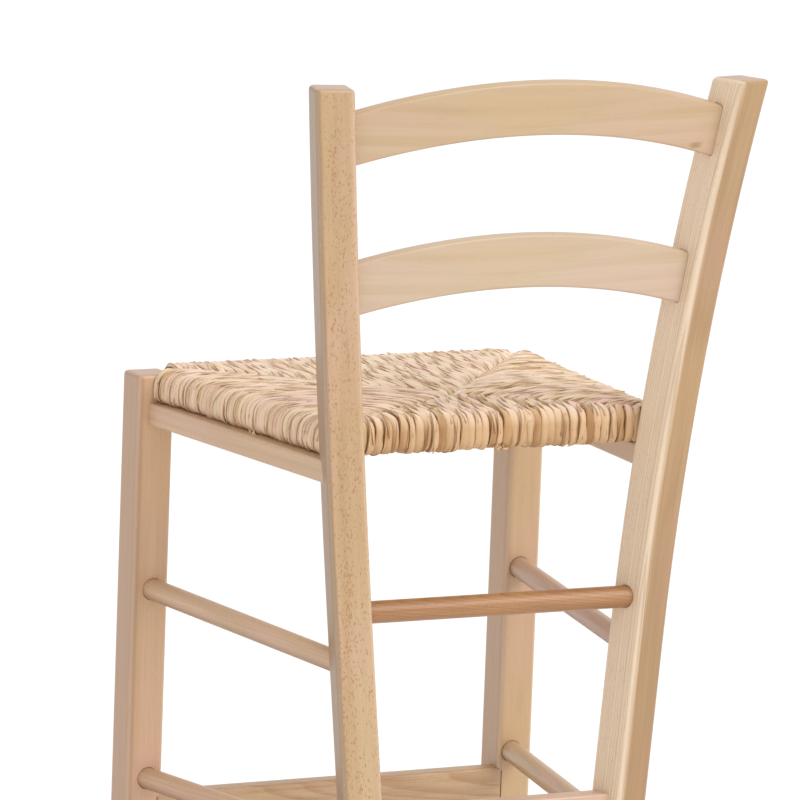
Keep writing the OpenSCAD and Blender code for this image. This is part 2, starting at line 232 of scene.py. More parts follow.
def dress(piece, board, figure, side, end, node):
    """Finishes a wooden piece: grain that follows its board, smooth rounded corners, its wood and its place
    on the chair. board turns the chair's directions into the board's, and figure is how far along the tree
    it grew. side and end are the woods of its long faces and of its sawn ends."""
    mesh = piece.data
    piece.name = mesh.name = node + "_wood"
    grain = mesh.attributes.new("grain", "FLOAT_VECTOR", "POINT")
    for point in mesh.vertices:
        grain.data[point.index].vector = board(point.co) + Vector((0, 0, figure))
    mesh.materials.clear()
    for material in (side, end):
        mesh.materials.append(material)
    along = [board(point.co) for point in mesh.vertices]
    for face in mesh.polygons:
        a, b, c = (along[v] for v in face.vertices[:3])
        face.material_index = 0
        flat = (b - a).cross(c - a)
        if flat.length > 1e-12 and abs(flat.normalized().z) > 0.8:
            face.material_index = 1
    bpy.ops.object.select_all(action="DESELECT")
    piece.select_set(True)
    bpy.context.view_layer.objects.active = piece
    bpy.ops.object.shade_smooth_by_angle(angle=math.radians(38))
    even = piece.modifiers.new("even", "WEIGHTED_NORMAL")
    even.keep_sharp = True
    bpy.ops.object.modifier_apply(modifier=even.name)
    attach(piece, "root")
    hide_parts(node)


def upright(turn):
    back = turn.inverted()
    return lambda point: back @ point


legs = {}
for side, sign in (("left", 1), ("right", -1)):
    leg = bar(leg_side, leg_side, seat_height, leg_round)
    legs[side] = (leg, Matrix.Translation((sign * leg_x, leg_y, 0)))
    place(leg, legs[side][1])


# ---- Back posts ----
# Two sawn beech posts, 35 by 38 mm, straight from the floor and then bent back in one long curve.
# Each is turned outward in plan and leans out to the side, and its foot is cut level with the floor.
post_wide, post_deep = 0.035, 0.038
toe, lean = math.radians(15.3), math.radians(5.2)
post_curve, curve_below_seat, back_rise = 2.48, 0.205, 0.308
above_top, below_floor = 0.012, 0.02
curve_start = (seat_height - curve_below_seat) / math.cos(lean)
post_top = seat_height + back_rise
post_length = (post_top + above_top) / math.cos(lean)


def bent(up):
    """How far the post has come back at a length up from the floor."""
    return 0 if up <= curve_start else post_curve - math.sqrt(post_curve ** 2 - (up - curve_start) ** 2)


def from_foot(z):
    """Where the post's middle has got to at a height, measured from its foot."""
    back = bent(z / math.cos(lean))
    return Vector((z * math.tan(lean) * math.cos(toe) + back * math.sin(toe),
                   -z * math.tan(lean) * math.sin(toe) + back * math.cos(toe), z))


# the posts' middles pass the seat 162 mm out to each side and 337 mm behind the legs
foot = Vector((0.162, leg_y + 0.337, seat_height)) - from_foot(seat_height)
stand = Matrix.Translation(foot) @ Matrix.Rotation(math.pi / 2 - toe, 4, "Z") @ Matrix.Rotation(lean, 4, "X")


def post_at(z):
    return foot + from_foot(z)


def post_board(mirror):
    """The post's own directions: x across, y through, z along the curve."""
    back = stand.inverted()

    def board(point):
        p = back @ Vector((point.x * mirror, point.y, point.z))
        if p.z > curve_start:
            turn = math.atan2(p.z - curve_start, post_curve - p.x)
            reach = math.hypot(p.z - curve_start, post_curve - p.x)
            return Vector((p.y, post_curve - reach, curve_start + turn * post_curve))
        return Vector((p.y, p.x, p.z))
    return board


# the plane of the sawn top, in the directions of the post's foot
top = stand.inverted() @ Matrix.Translation(post_at(post_top))
posts = {}
for side, sign in (("left", 1), ("right", -1)):
    bpy.ops.object.select_all(action="DESELECT")
    bpy.ops.mesh.primitive_plane_add(size=1, location=(0, 0, 0))
    post = bpy.context.object
    bpy.ops.object.mode_set(mode="EDIT")
    bpy.ops.transform.resize(value=(post_deep, post_wide, 1))
    bpy.ops.transform.translate(value=(0, 0, -below_floor))
    bpy.ops.mesh.extrude_region_move(TRANSFORM_OT_translate={"value": (0, 0, curve_start + below_floor)})
    bpy.ops.mesh.spin(steps=14, angle=-math.asin((post_length - curve_start) / post_curve),
                      center=(post_curve, 0, curve_start), axis=(0, 1, 0))
    bpy.ops.mesh.select_all(action="SELECT")
    bpy.ops.mesh.remove_doubles(threshold=0.00001)
    bpy.ops.mesh.normals_make_consistent(inside=False)
    bpy.ops.mesh.bisect(plane_co=top.translation, plane_no=top.col[2].to_3d(), use_fill=True,
                        clear_outer=True)
    bpy.ops.object.mode_set(mode="OBJECT")
    # every arris is rounded, and the long inner one at the back a little more
    weights = post.data.attributes.new("bevel_weight_edge", "FLOAT", "EDGE")
    for edge in post.data.edges:
        one, other = (post.data.vertices[v] for v in edge.vertices)
        sides = [face.normal for face in post.data.polygons if set(edge.vertices) <= set(face.vertices)]
        if len(sides) == 2 and sides[0].angle(sides[1]) > math.radians(40):
            inner_back = min(one.co.y, other.co.y) > 0.015 and all(n.y > 0.9 or n.x > 0.7 for n in sides)
            long_edge = abs(one.co.z - other.co.z) > 0.02
            weights.data[edge.index].value = 1.0 if inner_back and long_edge else 0.68
    arris = post.modifiers.new("arris", "BEVEL")
    arris.width, arris.segments, arris.limit_method = 0.0065, 4, "WEIGHT"
    bpy.ops.object.modifier_apply(modifier=arris.name)
    place(post, Matrix.Diagonal((sign, 1, 1, 1)) @ stand)
    bpy.ops.object.mode_set(mode="EDIT")
    bpy.ops.mesh.select_all(action="SELECT")
    bpy.ops.mesh.normals_make_consistent(inside=False)
    bpy.ops.mesh.bisect(plane_co=(0, 0, 0), plane_no=(0, 0, -1), use_fill=True, clear_outer=True)
    bpy.ops.object.mode_set(mode="OBJECT")
    posts[side] = post


# ---- Side rungs and back rung ----
# Turned 20 mm beech dowels, glued into blind holes at their full thickness.
# A hair of shadow shows round each where it enters the wood.
# The two upper side rungs fall slightly towards the back. The back rung came from a browner board.
rung_thick, into_wood = 0.020, 0.020
hole_gap, hole_deeper = 0.0008, 0.001


def dowel(start, stop, thick, trim=0.0012):
    """A round bar from start to stop with its rims taken off, and the turn that stands it there."""
    bpy.ops.object.select_all(action="DESELECT")
    length = (stop - start).length
    bpy.ops.mesh.primitive_cylinder_add(vertices=48, radius=thick / 2, depth=length, location=(0, 0, 0),
                                        end_fill_type="NGON")
    piece = bpy.context.object
    bpy.ops.object.mode_set(mode="EDIT")
    bpy.ops.transform.translate(value=(0, 0, length / 2))
    bpy.ops.object.mode_set(mode="OBJECT")
    if trim:
        rim = piece.modifiers.new("rim", "BEVEL")
        rim.width, rim.segments, rim.limit_method, rim.angle_limit = trim, 3, "ANGLE", math.radians(40)
        bpy.ops.object.modifier_apply(modifier=rim.name)
    turn = Matrix.Translation(start) @ (stop - start).to_track_quat("Z", "Y").to_matrix().to_4x4()
    place(piece, turn)
    return piece, turn


# how far below the seat each pair enters the leg and the post
rungs = {"upper": (0.199, 0.211), "lower": (0.377, 0.377)}
rung_tones = {("upper", "left"): (0.62, 0.43, 0.28), ("upper", "right"): (0.52, 0.345, 0.245),
              ("lower", "left"): (0.57, 0.375, 0.235), ("lower", "right"): (0.55, 0.385, 0.24)}
for height, (front_drop, back_drop) in rungs.items():
    for side, sign in (("left", 1), ("right", -1)):
        flip = Matrix.Diagonal((sign, 1, 1, 1))
        front = flip @ Vector((leg_x, leg_y, seat_height - front_drop))
        back = flip @ post_at(seat_height - back_drop)
        way = (back - front).normalized()
        start = front + way * (leg_side / 2 - into_wood)
        stop = back - way * (post_deep / 2 - into_wood)
        rung, turn = dowel(start, stop, rung_thick)
        hole, _ = dowel(start - way * hole_deeper, stop + way * hole_deeper, rung_thick + hole_gap, 0)
        spare = hole.copy()
        spare.data = hole.data.copy()
        bpy.context.collection.objects.link(spare)
        sink(legs[side][0], hole)
        sink(posts[side], spare)
        tone = rung_tones[height, side]
        # the underside of each rung is drawn darker brown: painted shade
        wood = beech(f"{height} {side} rung beech", tone, dyed(tone, 0.92, 0.87, 0.82),
                     pith=(0.03 * sign, 0.02), slope=0.02, layer=0.0024, flecks=0.2, contrast=1.0,
                     face=((0.2, -1), dyed(tone, 0.46, 0.38, 0.30), -0.005, 0.007))
        dress(rung, upright(turn), front_drop * 7 + sign, wood, wood, f"{height}_side_rung_{side}")

back_rung_drop = 0.162
level = seat_height - back_rung_drop
inner = post_at(level).x - post_wide / 2 * math.cos(toe)
reach = inner + into_wood - 0.004
y = post_at(level).y + 0.002
rung, turn = dowel(Vector((-reach, y, level)), Vector((reach, y, level)), rung_thick)
for side in ("left", "right"):
    hole, _ = dowel(Vector((-reach - hole_deeper, y, level)), Vector((reach + hole_deeper, y, level)),
                    rung_thick + hole_gap, 0)
    sink(posts[side], hole)
brown = beech("back rung beech", (0.43, 0.222, 0.098), (0.34, 0.16, 0.062), pith=(0.012, 0.03), slope=0.12,
              layer=0.0026, flecks=0.3, contrast=1.5)
dress(rung, upright(turn), 0.1, brown, brown, "back_rung")


# ---- Back slats ----
# Two steam-bent beech slats, 12.5 mm thick, arched in the middle, bowed backward and leaning with the posts.
# Their ends are let 15 mm into mortises in the posts' inner faces.
slat_thick, slat_tall, slat_in, slat_back = 0.0125, 0.048, 0.015, 0.003
# height above the seat, rise of the arch, depth of the bow, the two tones of the wood, and a bark mark
slats = (("top slat", "top_slat", 0.238, 0.028, 0.013,
          (0.565, 0.41, 0.255), (0.53, 0.365, 0.21), (-0.0115, -0.156)),
         ("lower slat", "lower_slat", 0.105, 0.0225, 0.009,
          (0.585, 0.445, 0.31), (0.56, 0.41, 0.265), None))
for name, node, lift, arch, bow, tone, warm, knot in slats:
    middle = seat_height + lift + slat_tall / 2
    rake = math.atan((post_at(middle + 0.005).y - post_at(middle - 0.005).y) / 0.010)
    half = post_at(middle).x - post_wide / 2 * math.cos(toe)
    arch_r = (half ** 2 + arch ** 2) / (2 * arch)
    bow_r = (half ** 2 + bow ** 2) / (2 * bow)
    swing = math.asin((half + slat_in) / bow_r)
    bpy.ops.object.select_all(action="DESELECT")
    bpy.ops.mesh.primitive_plane_add(size=1, location=(0, 0, 0))
    slat = bpy.context.object
    bpy.ops.object.mode_set(mode="EDIT")
    bpy.ops.transform.resize(value=(slat_tall, slat_thick, 1))
    bpy.ops.object.mode_set(mode="OBJECT")
    # stand the blank's end at the left, facing along the bow, and sweep it round
    place(slat, Matrix.Rotation(swing, 4, "Z") @ Matrix.Translation((0, bow_r, 0))
          @ Matrix.Rotation(math.pi / 2, 4, "Y"))
    bpy.ops.object.mode_set(mode="EDIT")
    bpy.ops.mesh.select_all(action="SELECT")
    bpy.ops.mesh.spin(steps=44, angle=2 * swing, center=(0, 0, 0), axis=(0, 0, 1))
    bpy.ops.mesh.select_all(action="SELECT")
    bpy.ops.mesh.remove_doubles(threshold=0.00001)
    bpy.ops.mesh.normals_make_consistent(inside=False)
    bpy.ops.object.mode_set(mode="OBJECT")
    for point in slat.data.vertices:
        point.co.z += arch - arch_r + math.sqrt(arch_r ** 2 - point.co.x ** 2)
    edge = slat.modifiers.new("edge", "BEVEL")
    edge.width, edge.segments, edge.limit_method, edge.angle_limit = 0.0028, 4, "ANGLE", math.radians(40)
    bpy.ops.object.modifier_apply(modifier=edge.name)
    turn = (Matrix.Translation((0, post_at(middle).y + slat_back, middle)) @ Matrix.Rotation(-rake, 4, "X")
            @ Matrix.Translation((0, bow - bow_r, 0)))
    place(slat, turn)
    for side in ("left", "right"):
        mortise = slat.copy()
        mortise.data = slat.data.copy()
        bpy.context.collection.objects.link(mortise)
        bpy.ops.object.select_all(action="DESELECT")
        bpy.context.view_layer.objects.active = mortise
        mortise.select_set(True)
        bpy.ops.object.mode_set(mode="EDIT")
        bpy.ops.mesh.select_all(action="SELECT")
        bpy.ops.transform.shrink_fatten(value=0.0003)
        bpy.ops.object.mode_set(mode="OBJECT")
        sink(posts[side], mortise)
    back = turn.inverted()

    def slat_board(point, back=back, bow_r=bow_r):
        p = back @ point
        return Vector((p.z, math.hypot(p.x, p.y) - bow_r, math.atan2(p.x, p.y) * bow_r))
    pale = beech(name + " beech", tone, warm, pith=(0.05, 0.16), slope=0.0, layer=0.0052, flecks=0.12,
                 contrast=0.42, knot=knot)
    dress(slat, slat_board, 0, pale, pale, node)


# ---- Rails under the seat ----
# Flat beech rails that the loose seat lies on: one along each side, and one between the front legs.
# The side rails follow the seat's taper and butt against the posts' front faces.
rail_low, rail_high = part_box("front_seat_rail")
into_leg, into_post, rail_round = 0.012, 0.015, 0.0022
rail_wide, rail_tall = 0.034, rail_high.z - rail_low.z
rail_mid = (rail_low.z + rail_high.z) / 2
post_face = post_at(rail_high.z - 0.0018) - Vector((math.sin(toe), math.cos(toe), 0)) * (post_deep / 2)
rail_front = Vector((leg_x - 0.0096, leg_y + leg_side / 2, rail_mid))
rail_back = Vector((post_face.x + 0.0036, post_face.y, rail_mid))
for side, sign in (("left", 1), ("right", -1)):
    way = rail_back - rail_front
    turn = (Matrix.Translation(rail_front - way.normalized() * into_leg)
            @ way.to_track_quat("Z", "X").to_matrix().to_4x4())
    rail = bar(rail_tall, rail_wide, way.length + into_leg + into_post, rail_round, 3)
    place(rail, turn)
    place(rail, Matrix.Diagonal((sign, 1, 1, 1)))
    bpy.ops.object.mode_set(mode="EDIT")
    bpy.ops.mesh.select_all(action="SELECT")
    bpy.ops.mesh.normals_make_consistent(inside=False)
    bpy.ops.object.mode_set(mode="OBJECT")
    wood = beech(f"{side} rail beech", (0.585, 0.40, 0.25), (0.545, 0.355, 0.215), pith=(0.02, 0.09),
                 slope=0.01, layer=0.0026, flecks=0.2, contrast=0.8)
    dress(rail, upright(Matrix.Diagonal((sign, 1, 1, 1)) @ turn), 2.2 * sign, wood, wood,
          "side_seat_rail_" + side)


def crossbar(low, high, reach, round_over):
    """A flat bar from side to side that fills the box's height and depth, and the turn that lays it there."""
    turn = (Matrix.Translation((-reach, (low.y + high.y) / 2, (low.z + high.z) / 2))
            @ Matrix.Rotation(math.pi / 2, 4, "Y"))
    piece = bar(high.z - low.z, high.y - low.y, 2 * reach, round_over, 3)
    place(piece, turn)
    return piece, turn


rail, turn = crossbar(rail_low, rail_high, leg_x - into_leg, rail_round)
wood = beech("front rail beech", (0.60, 0.42, 0.275), (0.56, 0.375, 0.23), pith=(0.02, 0.07), slope=0.01,
             layer=0.0026, flecks=0.3, contrast=0.9)
dress(rail, upright(turn), 1.2, wood, wood, "front_seat_rail")


# ---- Footboard and lower back rail ----
# Flat boards 19 mm thick on edge, tenoned between the front legs and between the posts.
# The footboard is plain-sawn, so its growth layers run out in brown arches.
board_round = 0.003
board, turn = crossbar(*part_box("footboard"), leg_x - 0.010, board_round)
arches = beech("footboard beech", (0.54, 0.37, 0.23), (0.49, 0.305, 0.165), pith=(-0.026, -0.014),
               slope=0.085, layer=0.0044, flecks=0.3, contrast=1.9)
dress(board, upright(turn), 0, arches, arches, "footboard")

rail_low, rail_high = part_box("back_lower_rail")
reach = post_at((rail_low.z + rail_high.z) / 2).x - 0.004
rail, turn = crossbar(rail_low, rail_high, reach, board_round)
wood = beech("lower back rail beech", (0.60, 0.43, 0.29), (0.56, 0.385, 0.245), pith=(0.03, 0.08), slope=0.02,
             layer=0.003, flecks=0.2, contrast=0.9)
dress(rail, upright(turn), 0.9, wood, wood, "back_lower_rail")


# ---- Wood of the legs and posts ----
# The legs and posts are finished last, once all their joints are cut.
# The left post is full of ray flecks, and its outer face is drawn dark brown as painted shade; the right one
# is browner, with a pale inner face. The legs' +X faces are drawn darker as painted shade, and the arrises of
# the legs and the left post paler as a painted highlight.
leg_highlight_arrises, post_highlight_arrises = (leg_side / 2, leg_side / 2), (post_wide / 2, post_deep / 2)
# each leg's +X face is drawn darker brown as painted shade, and its arrises paler as a painted highlight
leg_woods = {
    "left": beech("left leg beech with painted shade and highlight", (0.66, 0.445, 0.285), (0.62, 0.405, 0.245), pith=(0.11, 0.03),
                  slope=0.006, layer=0.0021, flecks=0.15, contrast=0.8, corner=leg_highlight_arrises,
                  face=((1, 0), (0.40, 0.235, 0.145), 0.010, 0.0165)),
    "right": beech("right leg beech with painted shade and highlight", (0.555, 0.38, 0.22), (0.52, 0.34, 0.18), pith=(-0.16, 0.02),
                   slope=0.0, layer=0.0016, flecks=0.12, contrast=0.5, corner=leg_highlight_arrises,
                   face=((1, 0), (0.46, 0.305, 0.20), 0.010, 0.0165))}
leg_end = beech("leg end grain", (0.55, 0.39, 0.29), (0.50, 0.33, 0.24), pith=(0.05, 0.05), slope=0.0,
                layer=0.0021, flecks=0.2, contrast=1.4, end=True)
leg_figure = {"left": 0.3, "right": 2.4}
for side, (leg, turn) in legs.items():
    dress(leg, upright(turn), leg_figure[side], leg_woods[side], leg_end, "front_leg_" + side)
post_figure = {"left": 0.7, "right": 4.1}
brown_from, brown_below = post_figure["right"] + 0.72, post_figure["right"] + 0.38
# the left post's outer face is drawn dark brown: painted shade; the right post's pale inner face is paler
# wood
post_woods = {
    "left": beech("left post beech with painted shade and highlight", (0.56, 0.385, 0.225), (0.52, 0.335, 0.175), pith=(0.006, 0.10),
                  slope=0.004, layer=0.0026, flecks=0.95, contrast=0.75, corner=post_highlight_arrises,
                  face=((-1, 0), (0.235, 0.13, 0.068), 0.0120, 0.0158)),
    "right": beech("right post beech", (0.46, 0.295, 0.158), (0.405, 0.245, 0.115), pith=(0.05, 0.05),
                   slope=0.01, layer=0.0020, flecks=0.1, contrast=1.0,
                   face=((1, 0), (0.88, 0.705, 0.52), 0.0100, 0.0160),
                   low=((0.34, 0.19, 0.085), brown_from, brown_below))}
post_end = beech("post end grain", (0.55, 0.38, 0.27), (0.49, 0.315, 0.215), pith=(0.05, 0.05), slope=0.0,
                 layer=0.0022, flecks=0.2, contrast=1.4, end=True)
for side, sign in (("left", 1), ("right", -1)):
    dress(posts[side], post_board(sign), post_figure[side], post_woods[side], post_end, "back_post_" + side)


# ---- Seat frame and stuffing ----
# The loose seat's own frame of four sawn beech slips, and the dry rush ends packed between them.
# Both are hidden inside the weaving and show only through its gaps.
packing = Finish("packed rush ends")
spot = packing.node("ShaderNodeTexCoord", {}, {}, "Object")
straws = packing.noise(packing.scaled(spot, 900, 240, 300), 3.0, 0.7)
dry = packing.mix(packing.ease(straws, 0.3, 0.7), (0.24, 0.13, 0.055), (0.46, 0.29, 0.14))
packing.set(Base_Color=dry, Roughness=0.85, Specular_IOR_Level=0.25)
packing.bump(straws, 0.8, 0.002)
sawn = Finish("sawn beech")
spot = sawn.node("ShaderNodeTexCoord", {}, {}, "Object")
fibres = sawn.noise(sawn.scaled(spot, 700, 700, 900), 3.0, 0.65)
sawn.set(Base_Color=sawn.mix(fibres, (0.40, 0.25, 0.14), (0.60, 0.42, 0.27)), Roughness=0.78,
         Specular_IOR_Level=0.3)
sawn.bump(fibres, 0.4, 0.0006)


def coat(node, finish):
    """Gives a piece that keeps its own shape its finish."""
    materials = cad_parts[node].data.materials
    materials.clear()
    materials.append(finish.material)


coat("seat_stuffing", packing)
for part in ("front", "back", "left", "right"):
    coat("seat_frame_" + part, sawn)


# ---- Rush seat ----
# Four panels of hand-twisted rush, wound over the seat frame from both sides and meeting in diagonal mitres.
# Each strand is three flat leaves, so no primitive gives its shape: every leaf is laid along its strand's way
# over the top, round the frame and back underneath, and turned about its neighbours.
seat_low_z, seat_top_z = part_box("rush_front")[0].z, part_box("rush_front")[1].z
front_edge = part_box("rush_front")[0].y
back_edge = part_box("rush_back")[1].y
front_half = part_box("rush_front")[1].x
side_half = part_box("rush_left")[1].x
side_start = leg_y + leg_side / 2 + 0.0005
back_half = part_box("rush_back")[1].x
# where the side panels end at the posts, and where the mitres start there
side_back_x, side_stop = 0.16696, leg_y + 0.31318
mitre_x, mitre_y = 0.1545, leg_y + 0.3155
half_strand = 0.0021
top_z, low_z = seat_top_z - half_strand, seat_low_z + half_strand
# a strand's end dives out of sight: places along its way, and how deep it is there
dive = ((-0.008, 0.0105), (-0.004, 0.0070), (0.001, 0.0030))


def wave(dice, *lengths):
    """A slow wander between -1 and 1 along a strand."""
    parts = [(2 * math.pi / length, dice.uniform(0, 6.28)) for length in lengths]
    return lambda way: sum(math.sin(way * rate + start) for rate, start in parts) / len(parts)


def strand_way(inner, outer, out, rise, dice):
    """The points of one strand and how far each is round from the top: 0 above, 1 on the edge and below.
    It leaves the edge squarely, then sweeps sideways to its place in the mitre, where it dives out of sight.
    rise is how far the panel crowns in its middle and how far it droops at its edge."""
    across = Vector((-out.y, out.x, 0))
    reach = (outer - inner).dot(out) - half_strand
    sweep = (inner - outer).dot(across)
    start = outer - out * (reach + half_strand)
    high, low = min(0.0105, reach * 0.55), min(0.0085, reach * 0.5)
    crown = (rise[0] + 0.0005 * dice.uniform(-1, 1)) * min(1, reach / 0.12)
    sag = dice.uniform(-0.0004, 0.0016)
    level = 0.006
    line = [(along, top_z - deep, 0) for along, deep in dive] + [(level, top_z - 0.0008, 0)]
    span = reach - high - level
    steps = max(1, round(span / 0.0065))
    for i in range(1, steps + 1):
        line.append((level + span * i / steps, top_z + crown * math.sin(math.pi * i / steps), 0))
    for i in range(1, 5):
        turn = math.radians(22.5 * i)
        line.append((reach - high + high * math.sin(turn), top_z - high + high * math.cos(turn), i / 4))
    line.append((reach + dice.uniform(-0.0003, 0.0008), (top_z - high + low_z + low) / 2, 1))
    for i in range(0, 5):
        turn = math.radians(22.5 * i)
        line.append((reach - low + low * math.cos(turn), low_z - sag + low - low * math.sin(turn), 1))
    span = reach - low - level
    steps = max(1, round(span / 0.011))
    for i in range(1, steps + 1):
        line.append((reach - low - span * i / steps, low_z - sag * (1 - i / steps), 1))
    line += [(along, low_z + deep, 1) for along, deep in reversed(dive)]
    drift = wave(dice, 0.11, 0.043)
    points = []
    for d, z, side in line:
        shift = sweep * math.exp(-(max(0, d) / 0.045) ** 1.3)
        shift += 0.0009 * drift(d + side) * min(1, max(0, reach - d) / 0.02)
        if z > top_z - 0.02:
            z -= rise[1] * math.exp(-max(0, reach - d) / 0.018)
        points.append((start + out * d + across * shift + Vector((0, 0, z)), side))
    return points, across


class Weave:
    """Gathers the leaves of one panel, with each point's place across its leaf, tone, length and side."""

    def __init__(self, edge_shade_and_age):
        self.edge_shade_and_age = edge_shade_and_age
        self.points, self.faces, self.leaf, self.side = [], [], [], []

    def leaf_along(self, rings, tone, around=8):
        """One closed leaf. rings are (centre, wide, thin, length along, side)."""
        start = len(self.points)
        for centre, wide, thin, way, side in rings:
            for i in range(around):
                turn = 2 * math.pi * i / around
                self.points.append(centre + wide * math.cos(turn) + thin * math.sin(turn))
                self.leaf.append((math.cos(turn), tone, way))
                # how far round the edge the point is, times how much browner the panel's edge is drawn:
                # partly weathering, partly painted shade
                self.side.append(side * self.edge_shade_and_age)
        for j in range(len(rings) - 1):
            for i in range(around):
                a, b = start + j * around + i, start + j * around + (i + 1) % around
                self.faces.append((a, b, b + around, a + around))
        self.faces.append(tuple(range(start + around - 1, start - 1, -1)))
        self.faces.append(tuple(range(len(self.points) - around, len(self.points))))

    def strand(self, inner, outer, out, pitch, rise, dice, shade):
        """A darker ribbon beneath, which fills the gaps between the leaves as painted shade, and three leaves
        that turn slowly round each other, about half of them with a loose end.
        """
        points, across = strand_way(inner, outer, out, rise, dice)
        tone = min(0.97, max(0.03, dice.gauss(shade, 0.2)))
        turn_length, start = dice.uniform(0.09, 0.155), dice.uniform(0, 6.28)
        sizes = [dice.uniform(0.80, 1.16) for _ in range(3)]
        swell = [wave(dice, 0.05, 0.021) for _ in range(3)]
        third = 2.094
        rings, gap_shade_core, way, twist = ([], [], []), [], dice.uniform(0, 50), 0.0
        for j, (centre, side) in enumerate(points):
            ahead = (points[min(j + 1, len(points) - 1)][0] - points[max(j - 1, 0)][0]).normalized()
            if j:
                step = (centre - points[j - 1][0]).length
                way += step
                twist += step * (1 - 0.6 * side) * 2 * math.pi / turn_length
            out = ahead.cross(across).normalized()
            flat = out.cross(ahead).normalized()
            ends = min(j, len(points) - 1 - j)
            narrow = (0.55, 0.62, 0.75, 0.92, 1)[min(ends, 4)]
            # a ribbon just under the leaves, which shows only in the gaps between them
            gap_shade_core.append((centre - out * 0.0010, flat * (pitch * 0.60 * narrow), out * 0.0006, way, side))
            for k in range(3):
                turn = start + k * third + twist
                wide = flat * (-math.sin(turn)) + out * (0.42 * math.cos(turn))
                wide.normalize()
                thin = ahead.cross(wide).normalized()
                width = pitch * (0.49 + 0.06 * side) * sizes[k] * narrow * (1 + 0.14 * swell[k](way))
                width *= math.sqrt(wide.dot(flat) ** 2 + (0.55 * wide.dot(out)) ** 2)
                middle = (centre + flat * (pitch * 0.19 * math.cos(turn) * narrow)
                          + out * (0.0010 * math.sin(turn)))
                rings[k].append((middle, wide * width, thin * (0.00105 * narrow ** 0.5), way, side))
        # the ribbon is drawn browner than the strand: painted shade in the gaps
        self.leaf_along(gap_shade_core, min(0.97, tone + 0.35), 6)
        for k in range(3):
            leaf_tone = min(0.99, max(0.01, tone + dice.uniform(-0.22, 0.22)))
            self.leaf_along(rings[k], leaf_tone)
            if dice.random() < 0.55 and len(rings[k]) > 14:
                # a leaf's loose end, lifting off the strand
                j = dice.randrange(3, len(rings[k]) - 9)
                lift = dice.uniform(0.0010, 0.0026)
                slide = flat * dice.uniform(-0.0018, 0.0018)
                piece = []
                for i, size in enumerate((0.75, 0.8, 0.7, 0.5, 0.26, 0.05)):
                    middle, wide, thin, place_on, side = rings[k][j + i]
                    nearby = (points[j + i + 1][0] - points[j + i - 1][0]).normalized()
                    up = nearby.cross(across).normalized()
                    middle = middle + up * (0.0006 + lift * (i / 5) ** 2) + slide * (i / 5)
                    piece.append((middle, wide * size, thin * 0.6, place_on, side))
                self.leaf_along(piece, min(0.99, max(0.01, leaf_tone + dice.uniform(-0.3, 0.3))))

    def tie(self, place, along, out, dice):
        """A strand's end, tucked round its neighbour under the edge in a small ragged bunch."""
        down, size = Vector((0, 0, -1)), 0.0042
        for k in range(12):
            reach, spread = size * dice.uniform(0.6, 1.3), size * dice.uniform(-1.1, 1.1)
            start, sweep = dice.uniform(-0.9, 0.5), dice.uniform(1.4, 2.6)
            rings = []
            for i in range(9):
                turn = start + sweep * (i / 8) + math.pi / 2
                centre = (place + along * (reach * 1.15 * math.cos(turn) + spread)
                          + out * (0.0003 + 0.0005 * (k % 4)) + down * (reach * 0.75 * math.sin(turn)))
                ahead = (down * math.cos(turn) - along * math.sin(turn)).normalized()
                narrow = (0.25, 0.6, 0.9, 1, 1, 1, 0.9, 0.6, 0.15)[i]
                wide, thin = ahead.cross(out) * (0.0011 * narrow), out * 0.0005
                rings.append((centre, wide, thin, 60 + k + i * 0.002, 0.9))
            self.leaf_along(rings, min(0.97, max(0.02, dice.gauss(0.55, 0.22))), 6)

    def made(self, node, finish):
        """Turns the gathered leaves into the panel's mesh."""
        mesh = bpy.data.meshes.new(node + "_weave")
        mesh.from_pydata(self.points, [], self.faces)
        mesh.attributes.new("leaf", "FLOAT_VECTOR", "POINT")
        mesh.attributes.new("side", "FLOAT", "POINT")
        leaf_values = [value for values in self.leaf for value in values]
        mesh.attributes["leaf"].data.foreach_set("vector", leaf_values)
        mesh.attributes["side"].data.foreach_set("value", self.side)
        mesh.materials.append(finish.material)
        piece = bpy.data.objects.new(node + "_weave", mesh)
        bpy.context.collection.objects.link(piece)
        bpy.ops.object.select_all(action="DESELECT")
        piece.select_set(True)
        bpy.context.view_layer.objects.active = piece
        bpy.ops.object.mode_set(mode="EDIT")
        bpy.ops.mesh.select_all(action="SELECT")
        bpy.ops.mesh.normals_make_consistent(inside=False)
        bpy.ops.object.mode_set(mode="OBJECT")
        bpy.ops.object.shade_smooth()
        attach(piece, "root")
        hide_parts(node)


rush = Finish("twisted rush")
leaf = rush.node("ShaderNodeAttribute", {"attribute_name": "leaf"}, {}, "Vector")
across, tone, way = (rush.node("ShaderNodeSeparateXYZ", {}, {0: leaf}, i) for i in range(3))
side = rush.node("ShaderNodeAttribute", {"attribute_name": "side"}, {}, "Fac")
veins = rush.noise(rush.scaled(leaf, 1.9, 97, 14), 3.0, 0.7)
blotch = rush.noise(rush.scaled(leaf, 0.5, 31, 34), 2.0)
# the edge and underside shift the tint browner too: partly weathering, partly painted shade
tint = tone + (blotch - 0.5) * 0.5 + side * 0.12
# from pinkish cream through straw to brown, with a few green and a few reddish leaves
colour = rush.node("ShaderNodeValToRGB", {"stops": [
    (0.0, (0.85, 0.60, 0.48)), (0.22, (0.89, 0.705, 0.53)), (0.42, (0.86, 0.67, 0.47)),
    (0.58, (0.80, 0.59, 0.38)), (0.74, (0.69, 0.465, 0.26)), (0.88, (0.50, 0.30, 0.135)),
    (1.0, (0.34, 0.165, 0.065))]}, {"Fac": tint}, "Color")
hue = rush.noise(rush.scaled(leaf, 0.1, 211, 9), 1.0)
colour = rush.mix(rush.ease(hue, 0.62, 0.76) * 0.40, colour, (0.62, 0.53, 0.26))
colour = rush.mix((1 - rush.ease(hue, 0.26, 0.38)) * 0.35, colour, (0.78, 0.46, 0.32))
